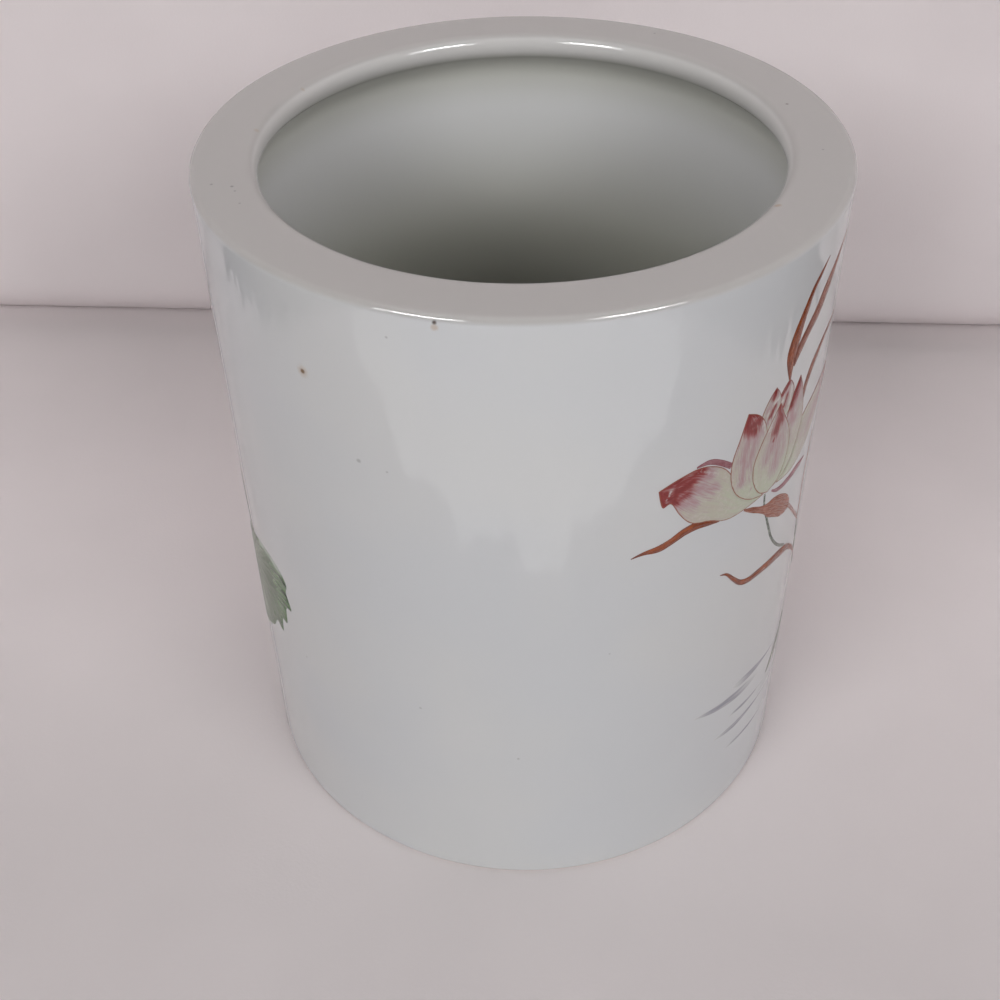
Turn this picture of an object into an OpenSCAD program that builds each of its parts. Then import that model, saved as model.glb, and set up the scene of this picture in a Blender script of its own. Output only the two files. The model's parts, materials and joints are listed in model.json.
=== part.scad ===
// Porcelain brush pot with a lotus pond in raised enamels
//
// A straight-walled cylindrical pot with a broad flat rim, a thick lip that
// overhangs the mouth and sweeps back to the wall below it, a luted floor with
// a coil in its corner, and a wide bare foot ring. The painting is raised
// enamel fired onto the wall, one thin solid to a colour field.
//
// Frame: millimetres, +Z up, origin at the middle of the foot, on the table.
// Places in the painting are [arc, height]: arc runs round the wall in
// millimetres from the front (-Y), positive towards +X; height is Z.

/* [Pot] */
// Outer diameter of the pot
pot_d = 180; // [170:1:190]
// Height of the pot
pot_h = 212; // [208:1:225]
// Inside diameter of the wall below the lip
bore_d = 156; // [150:1:160]

/* [Rim and lip] */
// Diameter of the mouth
mouth_d = 144; // [130:1:146]
// Height of the rim ring
rim_h = 16; // [14:1:20]
// Rounding of the outer rim edge
rim_round = 2; // [1:0.5:4]
// Twice the rounding of the lip's upper edge
lip_h = 7; // [5:0.5:9]
// Rounding of the lip just under the mouth's narrowest ring
lip_curl = 5; // [3:0.5:8]
// Height over which the lip's underside sweeps back to the bore
lip_drop = 12; // [10:0.5:12]

/* [Floor and foot] */
// Thickness of the floor
floor_h = 10; // [6:1:14]
// Radius of the cove between floor and wall
cove_r = 8; // [4:1:12]
// Height of the foot ring, and so of the recess under the floor
foot_h = 4; // [3:1:6]
// Inside diameter of the foot ring
foot_bore_d = 140; // [120:1:146]
// Rounding of the foot's outer edge
foot_round = 1.5; // [0.5:0.5:2.5]

/* [Enamel] */
// Thickness of the raised enamel
enamel_t = 0.3; // [0.2:0.1:0.6]
// Straight facets in each stretch of a painted curve
curve_steps = 4; // [2:1:8]

/* [Hidden] */

$fn = 240;
pot_r = pot_d / 2;
bore_r = bore_d / 2;
mouth_r = mouth_d / 2;
lip_r = lip_h / 2;
rim_z = pot_h - rim_h;
foot_bore_r = foot_bore_d / 2;
floor_top = foot_h + floor_h;
// Narrowest that a brush stroke gets
hair = 0.3;
// Spare length that a cutting shape runs past what it cuts
over = 1;

// ---- Curves ----

// Item i of a list, held at the ends
function held(list, i) = list[max(0, min(len(list) - 1, i))];

// One point of a Catmull-Rom curve between b and c, at t from 0 to 1
function blend(a, b, c, d, t) =
    (2 * b + (c - a) * t + (2 * a - 5 * b + 4 * c - d) * t * t
    + (3 * b - a - 3 * c + d) * t * t * t) / 2;

// Smooth open curve through the points
function curve(points) = concat(
    [for (i = [0 : len(points) - 2], j = [0 : curve_steps - 1])
        blend(held(points, i - 1), points[i], points[i + 1], held(points, i + 2), j / curve_steps)],
    [points[len(points) - 1]]
);

// All but the last item, so that two curves can share their end
function but_last(list) = [for (i = [0 : len(list) - 2]) list[i]];

// A petal: one side from base to tip, the other from tip to base
function petal(up, down) = concat(but_last(curve(up)), but_last(curve(down)));

// Smooth closed outline through the points
function closed(points) =
    let (n = len(points))
    [for (i = [0 : n - 1], j = [0 : curve_steps - 1])
        blend(points[(i + n - 1) % n], points[i], points[(i + 1) % n], points[(i + 2) % n],
            j / curve_steps)];

// A brush stroke: points are [arc, height, width]
function stroke_edge(line, i, side) =
    let (along = held(line, i + 1) - held(line, i - 1))
    let (across = [-along.y, along.x] / norm([along.x, along.y]))
    let (half_w = max(hair, line[i].z) / 2)
    [line[i].x, line[i].y] + side * half_w * across;

function stroke(points) =
    let (line = curve(points))
    let (last = len(line) - 1)
    concat(
        [for (i = [0 : last]) stroke_edge(line, i, 1)],
        [for (i = [last : -1 : 0]) stroke_edge(line, i, -1)]
    );

// ---- Painted outlines: lotus flower ----

PETAL_FRONT_CENTRE = petal(
    [[75.5, 136], [71, 138.5], [67.8, 144], [67, 150], [69, 156], [72, 161], [76, 166.5]],
    [[76, 166.5], [79, 161], [82.5, 155], [84, 149], [83.5, 143], [80.5, 138], [75.5, 136]]
);
PETAL_FRONT_LEFT = petal(
    [[73, 136.5], [67, 138.5], [61.5, 143], [58.5, 149], [58, 156], [60, 163], [62, 170]],
    [[62, 170], [66.5, 167.5], [70, 163], [72, 156], [73, 147], [73, 136.5]]
);
PETAL_FRONT_RIGHT = petal(
    [[78, 136.5], [79, 145], [79.5, 154], [81, 162], [83, 166.5], [85.5, 170]],
    [[85.5, 170], [88, 165], [90, 159], [91, 152], [89, 145], [85, 139], [78, 136.5]]
);
PETAL_BACK_LEFT = petal(
    [[72, 158], [68.5, 162], [67.8, 166], [70, 170.3], [72.8, 173]],
    [[72.8, 173], [75, 170], [76, 166], [75.5, 161], [72, 158]]
);
PETAL_BACK_CENTRE = petal(
    [[77, 158], [74, 163], [74.5, 168], [76.5, 170.5], [79, 172.3]],
    [[79, 172.3], [81, 170.3], [82.5, 167], [82, 162], [77, 158]]
);
PETAL_OPEN_LEFT = petal(
    [[74, 136.5], [60, 135.8], [52, 139], [46, 141], [42, 145.5], [39, 150.5], [36.5, 150],
        [35, 156]],
    [[35, 156], [40, 158], [46, 159.3], [51, 158.3], [56, 155], [61, 148], [66, 141],
        [74, 136.5]]
);
PETAL_OPEN_LEFT_FOLD = stroke(
    [[46, 159.8, 0.6], [50, 160, 1.6], [54, 158, 1.8], [58, 155, 1.8]]
);
PETAL_OPEN_RIGHT = petal(
    [[80, 136.5], [88, 135.5], [96, 137.5], [103, 142], [109, 149], [114, 157]],
    [[114, 157], [106, 157], [98, 155.5], [91, 153], [84, 146], [80, 136.5]]
);
PETAL_OPEN_RIGHT_FOLD = stroke(
    [[78, 135, 0.6], [82, 133, 1.6], [88, 132.6, 2.2], [94, 132.9, 2.4], [100, 132.4, 0.6]]
);

// ---- Painted outlines: leaves and stems about the flower ----

BLADE_UPPER_SHORT = stroke(
    [[79, 172, 0.9], [78.2, 177, 3.2], [78.2, 181, 4.8], [79.6, 186, 4.4], [82, 191, 3.2],
        [85, 196, 2.2], [88.5, 199, 1.6], [93, 202, 0.3]]
);
BLADE_UPPER_LONG = stroke(
    [[79.5, 176, 2], [82, 180, 3.6], [86, 184, 4], [90, 187, 4.6], [94, 191, 4.8],
        [97.5, 194, 4], [101, 196.5, 2.6], [105, 198.8, 1.2], [110, 200.5, 0.3]]
);
BLADE_RIGHT = stroke(
    [[89.5, 160, 1], [90, 164, 2.6], [92.5, 168, 3.2], [96, 171, 2.8], [100, 173.3, 2.2],
        [105, 174.8, 1.3], [111, 175.5, 0.3]]
);
BLADE_LOWER_LEFT = stroke(
    [[28.5, 134.7, 0.3], [32, 135.6, 1.2], [36.5, 135.8, 2.4], [40, 137, 2.4],
        [44, 138.8, 2.8], [48, 139.3, 2.8], [52, 138.4, 2], [56, 137.2, 0.8]]
);
BLADE_HOOKED = stroke(
    [[58.8, 115.2, 0.3], [61.5, 114, 0.9], [64.5, 110.5, 1.4], [68, 106.8, 1.8],
        [72, 105, 2.2], [77, 104.5, 2.6], [83, 103.6, 3], [89, 102.4, 3.2], [95, 100.2, 3],
        [99, 98, 2], [104, 93.5, 1.8], [110, 87.5, 1.4], [116, 80, 0.6]]
);
SEPAL_BROWN = stroke(
    [[65.5, 135.6, 0.6], [69, 133.6, 1.8], [73, 131.2, 2.2], [76, 129.6, 3.4],
        [79, 128.2, 6.2], [83, 126.2, 7.2], [87, 123.4, 7], [90, 121.2, 4.6], [91.8, 119.8, 1.2]]
);
STEM_DOTTED = stroke(
    [[74.5, 136, 0.8], [75.2, 131, 0.9], [77.2, 126, 0.9], [79.5, 120.5, 1],
        [82, 115, 1], [85.5, 110, 1], [89.5, 106, 1], [94, 102.8, 0.8]]
);
STEM_SEPAL = stroke(
    [[91, 121, 1.3], [95, 116.6, 1.3], [99, 112, 1.2], [103, 107.6, 1.2], [106.5, 103.5, 1.1]]
);
STEM_PETAL = stroke(
    [[108.5, 136, 0.5], [106.6, 127, 0.9], [105.6, 118, 1], [106.4, 109, 1], [106.8, 103, 1]]
);
STEM_FLOWER = stroke(
    [[106.6, 104, 1.2], [109, 96, 1.4], [114, 84, 1.5], [122, 70, 1.5], [129, 58, 1.4],
        [134, 46, 0.8]]
);

// ---- Painted outlines: leaf at the left, water at the right ----

LEAF_LEFT = closed(
    [[-108, 98], [-99, 101], [-91, 101.5], [-85, 99.5], [-82, 96], [-83, 92], [-81.2, 86],
        [-84.5, 84.5], [-85.8, 77], [-89, 76.5], [-90.5, 69.5], [-94.5, 71], [-99, 65],
        [-104, 61], [-110, 57], [-117, 52], [-125, 50], [-130, 53.5], [-135, 52], [-138, 58],
        [-138.5, 66], [-136.5, 75], [-131, 84], [-122, 92]]
);
LEAF_LEFT_STEM = stroke(
    [[-108, 97, 0.8], [-112, 103, 0.8], [-118, 112, 0.9], [-127, 122, 1], [-136, 124, 1],
        [-146, 117, 1.1], [-153, 104, 1.2], [-158, 85, 1.2], [-161, 62, 1.2], [-162, 46, 0.7]]
);
WATER_LINE_1 = stroke(
    [[54.5, 56.2, 0.4], [60, 55, 2], [66, 53.8, 3], [72, 53, 3.8], [78, 52.2, 3.8],
        [84, 51.6, 2.6], [90, 51.4, 0.4]]
);
WATER_LINE_2 = stroke(
    [[72.5, 58, 1], [76, 57.2, 3.2], [82, 56.4, 3.4], [88, 55.6, 2.6], [94, 55, 1.5],
        [101, 54.5, 1], [111, 54.8, 0.5]]
);
WATER_LINE_3 = stroke(
    [[72, 44.2, 0.5], [76, 43.8, 1.6], [82, 43, 1.8], [88, 42.4, 1.4], [95, 42, 0.4]]
);
WATER_LINE_4 = stroke(
    [[65.5, 38, 0.5], [70, 37.4, 2], [76, 36.8, 2.6], [82, 36.6, 2.2], [90, 36.2, 1.6],
        [98, 35.6, 0.9], [105, 35.4, 0.4]]
);
WATER_LINE_5 = stroke(
    [[72, 28, 0.5], [77, 27.6, 1.6], [84, 26.8, 1.7], [92, 26, 1.4], [101, 25.4, 0.5]]
);
WATER_GRASS = stroke(
    [[97.5, 42.5, 0.7], [100.5, 44.5, 2.6], [104.5, 48, 3.4], [108.5, 52.5, 2.4],
        [112, 58, 0.5]]
);

// ---- Painted outlines: far side ----

LEAF_BACK = closed(
    [[168, 118], [176, 128], [188, 134], [202, 134], [214, 128], [222, 118], [226, 109],
        [219, 110], [214, 105], [206, 108], [199, 103], [191, 107], [183, 103], [177, 108],
        [170, 107], [164, 111]]
);
LEAF_BACK_STEM = stroke(
    [[197, 104, 1.2], [196, 92, 1.5], [192, 78, 1.6], [186, 62, 1.5], [182, 46, 0.8]]
);
BUD_PETAL_CENTRE = petal(
    [[-228, 138], [-234, 144], [-236, 153], [-233, 163], [-228, 172]],
    [[-228, 172], [-224, 163], [-221.5, 153], [-223, 144], [-228, 138]]
);
BUD_PETAL_LEFT = petal(
    [[-228, 138], [-236, 141], [-240.5, 149], [-240, 158], [-235, 167]],
    [[-235, 167], [-233, 155], [-228, 138]]
);
BUD_PETAL_RIGHT = petal(
    [[-228, 138], [-225, 155], [-222, 166]],
    [[-222, 166], [-217.5, 157], [-217, 148], [-221, 141], [-228, 138]]
);
BUD_STEM = stroke(
    [[-228, 138, 1.6], [-227, 124, 1.5], [-222, 106, 1.5], [-216, 86, 1.5], [-212, 66, 1.4],
        [-211, 46, 0.7]]
);
WATER_BACK_1 = stroke(
    [[166, 41, 0.5], [176, 39.5, 2.2], [188, 38.6, 2.8], [200, 38.4, 2], [212, 39, 0.5]]
);
WATER_BACK_2 = stroke(
    [[176, 31, 0.5], [184, 30, 1.6], [194, 29.6, 1.8], [205, 30, 0.5]]
);
WATER_BACK_3 = stroke(
    [[-232, 41, 0.5], [-222, 39.6, 2], [-210, 39, 2.6], [-198, 39.4, 1.8], [-186, 40.4, 0.5]]
);

// ---- Building modules ----

// Flat rectangle in the (radius, height) plane between two corners
module block(r_low, z_low, r_high, z_high) {
    translate([r_low, z_low]) square([r_high - r_low, z_high - z_low]);
}

// The scrap outside a rounded corner, to be cut away. inward holds 1 or -1
// for each direction that leads from the sharp corner into the solid.
module corner_scrap(corner, r, inward) {
    side = r + over;
    translate(corner + r * inward)
        difference() {
            translate([inward.x > 0 ? -side : 0, inward.y > 0 ? -side : 0]) square(side);
            circle(r);
        }
}

// Degrees round the wall for an arc in millimetres
function turn(arc) = arc / pot_r * 180 / PI;

// Outline seen square on at arc mid, before it is wrapped onto the wall
function facing(outline, mid) = [for (p = outline) [pot_r * sin(turn(p.x - mid)), p.y]];

// A colour field of enamel on the wall, less what later strokes cover
module enamel(outline, covered_by = []) {
    arcs = [for (p = outline) p.x];
    mid = (min(arcs) + max(arcs)) / 2;
    rotate([0, 0, turn(mid)])
        intersection() {
            difference() {
                cylinder(r = pot_r + enamel_t, h = pot_h);
                translate([0, 0, -over]) cylinder(r = pot_r, h = pot_h + 2 * over);
            }
            rotate([90, 0, 0])
                linear_extrude(pot_r + enamel_t + over)
                    difference() {
                        polygon(facing(outline, mid));
                        for (o = covered_by) polygon(facing(o, mid));
                    }
        }
}

// ---- Pot ----

module wall() {
    color("#dfe3e1")
        rotate_extrude() block(bore_r, foot_h, pot_r, rim_z);
}

// Half section of the lip: a rounded upper edge, then a sweep back to the bore
// made of a bulging arc that runs smoothly into a hollow one
module lip_section() {
    neck_z = pot_h - lip_r;
    overhang = bore_r - mouth_r;
    both = (overhang * overhang + lip_drop * lip_drop) / (2 * overhang);
    hollow = both - lip_curl;
    join_z = neck_z - lip_curl * lip_drop / both;
    block(mouth_r + lip_r, neck_z, bore_r + over, pot_h);
    intersection() {
        translate([mouth_r + lip_r, neck_z]) circle(lip_r);
        block(mouth_r - over, neck_z, bore_r, pot_h);
    }
    intersection() {
        translate([mouth_r + lip_curl, neck_z]) circle(lip_curl);
        block(mouth_r - over, join_z, bore_r + over, neck_z);
    }
    difference() {
        block(mouth_r - over, neck_z - lip_drop, bore_r + over, join_z);
        translate([bore_r - hollow, neck_z - lip_drop]) circle(hollow);
    }
}

module rim_ring() {
    color("#d9dad6")
        rotate_extrude()
            difference() {
                union() {
                    block(bore_r, rim_z, pot_r, pot_h);
                    lip_section();
                }
                corner_scrap([pot_r, pot_h], rim_round, [-1, -1]);
            }
}

module base_disc() {
    color("#cfd6d2")
        rotate_extrude() block(0, foot_h, bore_r, floor_top);
}

// The coil pressed into the corner between floor and wall, wiped to a cove
// that ends in a fine ledge at the wall
module floor_coil() {
    ledge = 0.4;
    color("#cbd3cf")
        rotate_extrude()
            difference() {
                block(bore_r - ledge - cove_r, floor_top, bore_r, floor_top + cove_r);
                translate([bore_r - ledge - cove_r, floor_top + cove_r]) circle(cove_r);
            }
}

module foot_ring() {
    color("#e6ddd0")
        rotate_extrude()
            difference() {
                block(foot_bore_r, 0, pot_r, foot_h);
                corner_scrap([pot_r, 0], foot_round, [-1, 1]);
                corner_scrap([foot_bore_r, 0], foot_round, [1, 1]);
            }
}

// ---- Lotus flower ----

module petal_front_centre() {
    color("#d3cfc4") enamel(PETAL_FRONT_CENTRE);
}

module petal_front_left() {
    color("#d6c2c0") enamel(PETAL_FRONT_LEFT, [PETAL_FRONT_CENTRE]);
}

module petal_front_right() {
    color("#cfc8bf") enamel(PETAL_FRONT_RIGHT, [PETAL_FRONT_CENTRE]);
}

module petal_back_left() {
    color("#b76a7f") enamel(PETAL_BACK_LEFT, [PETAL_FRONT_CENTRE, PETAL_FRONT_LEFT]);
}

module petal_back_centre() {
    color("#b9758a")
        enamel(PETAL_BACK_CENTRE, [PETAL_FRONT_CENTRE, PETAL_FRONT_RIGHT, PETAL_BACK_LEFT]);
}

module petal_open_left() {
    color("#d5cdb4") enamel(PETAL_OPEN_LEFT, [PETAL_FRONT_LEFT, PETAL_FRONT_CENTRE]);
}

module petal_open_left_fold() {
    color("#b0627c") enamel(PETAL_OPEN_LEFT_FOLD, [PETAL_OPEN_LEFT, PETAL_FRONT_LEFT]);
}

module petal_open_right() {
    color("#c9bcc2") enamel(PETAL_OPEN_RIGHT, [PETAL_FRONT_RIGHT, PETAL_FRONT_CENTRE]);
}

module petal_open_right_fold() {
    color("#b78297") enamel(PETAL_OPEN_RIGHT_FOLD, [PETAL_OPEN_RIGHT]);
}

// ---- Leaves and stems about the flower ----

module blade_upper_short() {
    color("#9a5238") enamel(BLADE_UPPER_SHORT, [PETAL_BACK_CENTRE]);
}

module blade_upper_long() {
    color("#a25a42") enamel(BLADE_UPPER_LONG, [BLADE_UPPER_SHORT]);
}

module blade_right() {
    color("#a5634c") enamel(BLADE_RIGHT, [PETAL_FRONT_RIGHT]);
}

module blade_lower_left() {
    color("#a55231") enamel(BLADE_LOWER_LEFT, [PETAL_OPEN_LEFT]);
}

module blade_hooked() {
    color("#a05f4a") enamel(BLADE_HOOKED);
}

module sepal_brown() {
    color("#a9654c") enamel(SEPAL_BROWN, [PETAL_OPEN_LEFT, PETAL_FRONT_LEFT]);
}

module stem_dotted() {
    color("#6f7f6d") enamel(STEM_DOTTED, [PETAL_FRONT_CENTRE, SEPAL_BROWN, BLADE_HOOKED]);
}

module stem_sepal() {
    color("#b98573") enamel(STEM_SEPAL, [SEPAL_BROWN]);
}

module stem_petal() {
    color("#b48a84") enamel(STEM_PETAL, [PETAL_OPEN_RIGHT, STEM_SEPAL]);
}

module stem_flower() {
    color("#8d8f74") enamel(STEM_FLOWER, [BLADE_HOOKED, STEM_SEPAL, STEM_PETAL]);
}

// ---- Leaf at the left, water at the right ----

module leaf_left() {
    color("#7d9a76") enamel(LEAF_LEFT);
}

module leaf_left_stem() {
    color("#7f8f76") enamel(LEAF_LEFT_STEM, [LEAF_LEFT]);
}

module water_line_1() {
    color("#a3a4ad") enamel(WATER_LINE_1, [WATER_LINE_2]);
}

module water_line_2() {
    color("#94949e") enamel(WATER_LINE_2, [WATER_GRASS]);
}

module water_line_3() {
    color("#a5a4ab") enamel(WATER_LINE_3);
}

module water_line_4() {
    color("#9b9aa3") enamel(WATER_LINE_4);
}

module water_line_5() {
    color("#a4a3aa") enamel(WATER_LINE_5);
}

module water_grass() {
    color("#86907a") enamel(WATER_GRASS);
}

// ---- Far side ----

module leaf_back() {
    color("#7d9a76") enamel(LEAF_BACK);
}

module leaf_back_stem() {
    color("#7f8f76") enamel(LEAF_BACK_STEM, [LEAF_BACK]);
}

module bud_petal_centre() {
    color("#c98a9a") enamel(BUD_PETAL_CENTRE);
}

module bud_petal_left() {
    color("#d0a3ab") enamel(BUD_PETAL_LEFT, [BUD_PETAL_CENTRE]);
}

module bud_petal_right() {
    color("#d0a3ab") enamel(BUD_PETAL_RIGHT, [BUD_PETAL_CENTRE]);
}

module bud_stem() {
    color("#7f8f76")
        enamel(BUD_STEM, [BUD_PETAL_CENTRE, BUD_PETAL_LEFT, BUD_PETAL_RIGHT]);
}

module water_back_1() {
    color("#a3a4ad") enamel(WATER_BACK_1);
}

module water_back_2() {
    color("#a5a4ab") enamel(WATER_BACK_2);
}

module water_back_3() {
    color("#a3a4ad") enamel(WATER_BACK_3);
}

wall();
rim_ring();
base_disc();
floor_coil();
foot_ring();
petal_front_centre();
petal_front_left();
petal_front_right();
petal_back_left();
petal_back_centre();
petal_open_left();
petal_open_left_fold();
petal_open_right();
petal_open_right_fold();
blade_upper_short();
blade_upper_long();
blade_right();
blade_lower_left();
blade_hooked();
sepal_brown();
stem_dotted();
stem_sepal();
stem_petal();
stem_flower();
leaf_left();
leaf_left_stem();
water_line_1();
water_line_2();
water_line_3();
water_line_4();
water_line_5();
water_grass();
leaf_back();
leaf_back_stem();
bud_petal_centre();
bud_petal_left();
bud_petal_right();
bud_stem();
water_back_1();
water_back_2();
water_back_3();
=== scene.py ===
"""Looks of a porcelain brush pot: a glazed cylinder with a lotus pond in raised enamels.

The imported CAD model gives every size. Each of its nodes is replaced by a finer
mesh: the pot's pieces by lathe-turned rings that share one slight hand-made
unevenness, and each enamel by a thin domed film that carries, as attributes,
how far along, across and from its edge a point lies. The materials paint the
streaks, outlines and veins from those attributes.

Places in the painting are (arc, height) in millimetres: arc runs round the
wall from the front (-Y), positive towards +X.
"""

import json
import math

import bmesh
import bpy
import numpy as np
from mathutils import Matrix, Vector


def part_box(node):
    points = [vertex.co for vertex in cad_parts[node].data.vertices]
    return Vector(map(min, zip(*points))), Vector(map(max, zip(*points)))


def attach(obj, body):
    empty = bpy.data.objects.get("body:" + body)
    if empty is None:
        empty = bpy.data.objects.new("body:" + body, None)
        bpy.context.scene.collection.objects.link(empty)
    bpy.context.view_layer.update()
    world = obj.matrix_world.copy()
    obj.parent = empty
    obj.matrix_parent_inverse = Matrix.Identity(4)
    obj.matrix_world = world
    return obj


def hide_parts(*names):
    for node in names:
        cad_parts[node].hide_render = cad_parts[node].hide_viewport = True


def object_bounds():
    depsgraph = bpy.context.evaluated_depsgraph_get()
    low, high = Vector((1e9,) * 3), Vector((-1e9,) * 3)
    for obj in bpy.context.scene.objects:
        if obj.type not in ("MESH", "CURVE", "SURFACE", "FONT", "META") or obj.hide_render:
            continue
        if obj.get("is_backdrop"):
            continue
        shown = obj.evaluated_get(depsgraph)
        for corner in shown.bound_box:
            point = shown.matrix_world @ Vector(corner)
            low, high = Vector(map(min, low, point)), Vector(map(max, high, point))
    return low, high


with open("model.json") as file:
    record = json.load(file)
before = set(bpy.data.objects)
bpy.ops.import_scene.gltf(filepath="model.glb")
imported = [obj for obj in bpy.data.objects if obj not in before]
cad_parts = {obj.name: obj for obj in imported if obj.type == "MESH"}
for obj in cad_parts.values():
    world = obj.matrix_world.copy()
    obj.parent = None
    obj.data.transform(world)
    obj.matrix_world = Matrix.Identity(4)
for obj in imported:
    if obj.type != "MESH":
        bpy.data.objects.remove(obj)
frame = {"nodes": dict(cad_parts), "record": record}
cad_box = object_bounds()

MM = 0.001


# ---- Sizes from the frame ----

def radii(node):
    """Smallest and largest distance of a CAD node's points from the pot's axis."""
    points = np.array([v.co for v in frame["nodes"][node].data.vertices])
    reach = np.hypot(points[:, 0], points[:, 1])
    return reach.min(), reach.max()


BORE_R, POT_R = radii("wall")
MOUTH_R = radii("rim_ring")[0]
FOOT_BORE_R = radii("foot_ring")[0]
COIL_R = radii("floor_coil")[0]
RIM_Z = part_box("rim_ring")[0].z
TOP_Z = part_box("rim_ring")[1].z
FOOT_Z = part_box("wall")[0].z
FLOOR_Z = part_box("base_disc")[1].z
COIL_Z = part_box("floor_coil")[1].z

RIM_ROUND = 2 * MM      # outer rim edge
LIP_R = 3.5 * MM        # upper edge of the lip
LIP_CURL = 5 * MM       # bulge of the lip under the mouth's narrowest ring
LIP_DROP = 12 * MM      # height over which the lip sweeps back to the bore
FOOT_ROUND = 1.5 * MM
COIL_LEDGE = 0.4 * MM
CROWN = 0.12 * MM       # how far the flat rim rises in its middle
TURNS = 360             # points round each ring


# ---- Surface of the pot ----

def swell(angle, z):
    """Slight hand-made unevenness of the walls, as extra radius in metres."""
    t = z / POT_R
    return MM * (
        0.035 * np.sin(3 * angle + 2.1 * t + 0.6)
        + 0.025 * np.sin(7 * angle - 5.0 * t + 1.9)
        + 0.016 * np.sin(13 * angle + 9.0 * t)
        + 0.014 * np.sin(19 * angle - 15.0 * t + 2.4)
        + 0.020 * np.sin(11.0 * t + 2.0 * np.sin(2 * angle))
    )


def on_wall(arc, height, lift):
    """Points on the wall for arcs, heights and lifts in millimetres, in metres."""
    angle = np.asarray(arc) * MM / POT_R
    z = np.asarray(height) * MM
    r = POT_R + swell(angle, z) + np.asarray(lift) * MM
    return np.stack([r * np.sin(angle), -r * np.cos(angle), z], -1)


def bend(centre, radius, start, end, steps=8):
    """Points of an arc in the (radius, height) plane, angles in degrees."""
    turn = np.radians(np.linspace(start, end, steps + 1))
    return [(centre[0] + radius * math.cos(a), centre[1] + radius * math.sin(a)) for a in turn]


def rise(r, low, high, step=3 * MM):
    """Points up or down a wall of radius r, so that it can swell."""
    count = max(1, round(abs(high - low) / step))
    return [(r, z) for z in np.linspace(low, high, count + 1)]


def finish_mesh(name, verts, faces, sharp_deg=40):
    """A smooth-shaded object with outward normals and its corners kept sharp."""
    mesh = bpy.data.meshes.new(name)
    mesh.from_pydata([tuple(v) for v in verts], [], faces)
    mesh.validate()
    work = bmesh.new()
    work.from_mesh(mesh)
    bmesh.ops.recalc_face_normals(work, faces=work.faces)
    work.to_mesh(mesh)
    work.free()
    mesh.shade_smooth()
    mesh.set_sharp_from_angle(angle=math.radians(sharp_deg))
    obj = bpy.data.objects.new(name, mesh)
    bpy.context.scene.collection.objects.link(obj)
    return obj


def lathe(name, profile):
    """Turns a closed (radius, height) outline about the pot's axis."""
    angles = np.linspace(0, 2 * math.pi, TURNS, endpoint=False)
    verts, rows = [], []
    for r, z in profile:
        if r == 0:
            rows.append([len(verts)] * TURNS)
            verts.append((0, 0, z))
            continue
        rows.append(list(range(len(verts), len(verts) + TURNS)))
        reach = r + swell(angles, z)
        verts.extend(zip(reach * np.sin(angles), -reach * np.cos(angles), [z] * TURNS))
    faces = []
    for low, high in zip(rows, rows[1:] + rows[:1]):
        for i in range(TURNS):
            j = (i + 1) % TURNS
            corners = list(dict.fromkeys([low[i], low[j], high[j], high[i]]))
            if len(corners) > 2:
                faces.append(corners)
    return finish_mesh(name, verts, faces)


def pot_pieces():
    """The clay pieces of the pot, each closed and each standing for its CAD node."""
    lip = (MOUTH_R + LIP_R, TOP_Z - LIP_R)
    overhang = BORE_R - MOUTH_R
    both = (overhang ** 2 + LIP_DROP ** 2) / (2 * overhang)
    hollow = both - LIP_CURL
    sweep = math.degrees(math.asin(LIP_DROP / both))
    top = np.linspace(POT_R - RIM_ROUND, lip[0], 13)[1:-1]
    share = (POT_R - RIM_ROUND - top) / (POT_R - RIM_ROUND - lip[0])
    rim = (
        rise(POT_R, RIM_Z, TOP_Z - RIM_ROUND)
        + bend((POT_R - RIM_ROUND, TOP_Z - RIM_ROUND), RIM_ROUND, 8, 90)
        + [(r, TOP_Z + CROWN * math.sin(math.pi * s)) for r, s in zip(top, share)]
        + bend(lip, LIP_R, 90, 180, 12)
        + bend((MOUTH_R + LIP_CURL, lip[1]), LIP_CURL, 180, 180 + sweep, 10)[1:]
        + bend((BORE_R - hollow, lip[1] - LIP_DROP), hollow, sweep, 0, 12)[1:]
        + [(BORE_R, RIM_Z)]
    )
    wall = rise(POT_R, FOOT_Z, RIM_Z) + rise(BORE_R, RIM_Z, FOOT_Z)
    base = [(0, FOOT_Z), (BORE_R, FOOT_Z), (BORE_R, FLOOR_Z), (COIL_R, FLOOR_Z), (0, FLOOR_Z)]
    coil_r = BORE_R - COIL_LEDGE - COIL_R
    coil = (
        [(BORE_R, FLOOR_Z), (BORE_R, COIL_Z)]
        + bend((COIL_R, COIL_Z), coil_r, 0, -90)
    )
    foot = (
        bend((POT_R - FOOT_ROUND, FOOT_ROUND), FOOT_ROUND, -90, 0)
        + [(POT_R, FOOT_Z), (FOOT_BORE_R, FOOT_Z)]
        + bend((FOOT_BORE_R + FOOT_ROUND, FOOT_ROUND), FOOT_ROUND, 180, 270)
    )
    outlines = {"wall": wall, "rim_ring": rim, "base_disc": base, "floor_coil": coil, "foot_ring": foot}
    return {node: lathe("porcelain_" + node, line) for node, line in outlines.items()}


# ---- Curves and outlines of the painting ----

def curve(points, steps):
    """Smooth open curve through the points, with a number of steps for each stretch."""
    p = np.array(points, float)
    p = np.vstack([p[:1], p, p[-1:]])
    t = (np.arange(steps) / steps)[:, None]
    parts = []
    for a, b, c, d in zip(p, p[1:], p[2:], p[3:]):
        parts.append(
            (2 * b + (c - a) * t + (2 * a - 5 * b + 4 * c - d) * t**2
             + (3 * b - a - 3 * c + d) * t**3) / 2
        )
    return np.vstack(parts + [p[-1:]])


def closed_curve(points, steps):
    """Smooth closed outline through the points."""
    p = list(points)
    line = curve(p[-2:] + p + p[:2], steps)
    return line[2 * steps: -2 * steps - 1]


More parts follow.
